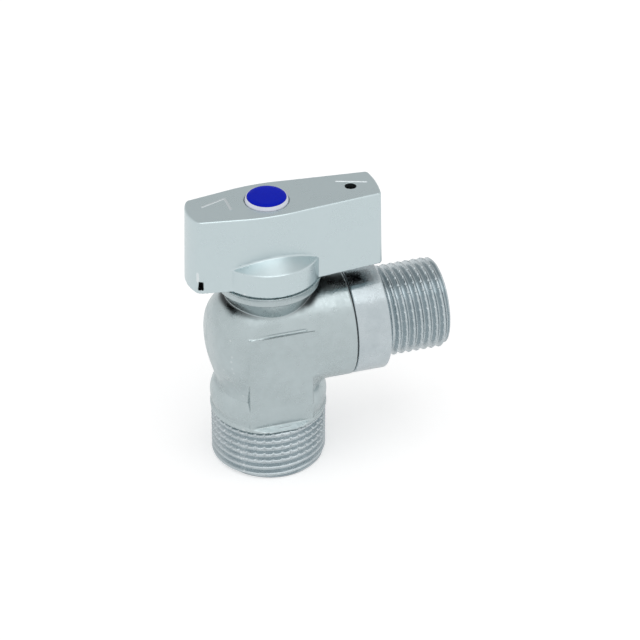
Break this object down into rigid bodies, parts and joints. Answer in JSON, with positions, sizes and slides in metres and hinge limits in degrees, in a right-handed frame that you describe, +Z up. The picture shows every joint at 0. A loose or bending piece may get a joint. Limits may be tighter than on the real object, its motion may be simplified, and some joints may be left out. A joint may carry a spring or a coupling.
{
  "type": "angle ball valve",
  "caption": "Nickel-plated brass angle ball valve with male threads below and at the side, and a satin bar handle with a blue index disc.",
  "frame": {"origin": "centre of the outlet's end face, on the stem's axis, so the part stands on z = 0", "axes": "+Z up along the stem's axis, +X out of the inlet, +Y completes the right-handed frame"},
  "size_m": [0.0593, 0.0264, 0.0687],
  "materials": {
    "nickel_forging": "satin",
    "nickel_machined": "satin",
    "satin_chrome": "satin",
    "chromed_ball": "polished",
    "bare_brass": "satin",
    "ptfe_white": "satin",
    "black_rubber": "satin",
    "dark_gasket": "matte",
    "zinc_screw": "satin",
    "spring_steel": "satin",
    "pale_cap": "gloss",
    "index_blue": "gloss"
  },
  "bodies": {
    "valve_body": {"body": "nickel_forging", "inlet_connector": "nickel_machined", "connector_gasket": "dark_gasket", "inlet_seat": "ptfe_white", "inlet_seat_ring": "black_rubber", "rear_seat": "ptfe_white", "rear_seat_ring": "black_rubber", "stem_thrust_washer": "ptfe_white"},
    "handle_set": {"handle": "satin_chrome", "handle_screw": "zinc_screw", "spring_washer": "spring_steel", "index_cap": "pale_cap", "index_disc": "index_blue", "stem": "bare_brass", "lower_stem_ring": "black_rubber", "upper_stem_ring": "black_rubber", "ball": "chromed_ball"}
  },
  "joints": [
    {"name": "handle_turn", "type": "hinge", "parent": "valve_body", "child": "handle_set", "pos_m": [0, 0, 0.0324], "axis": [0, 0, 1], "range_deg": [-90, 0]}
  ]
}
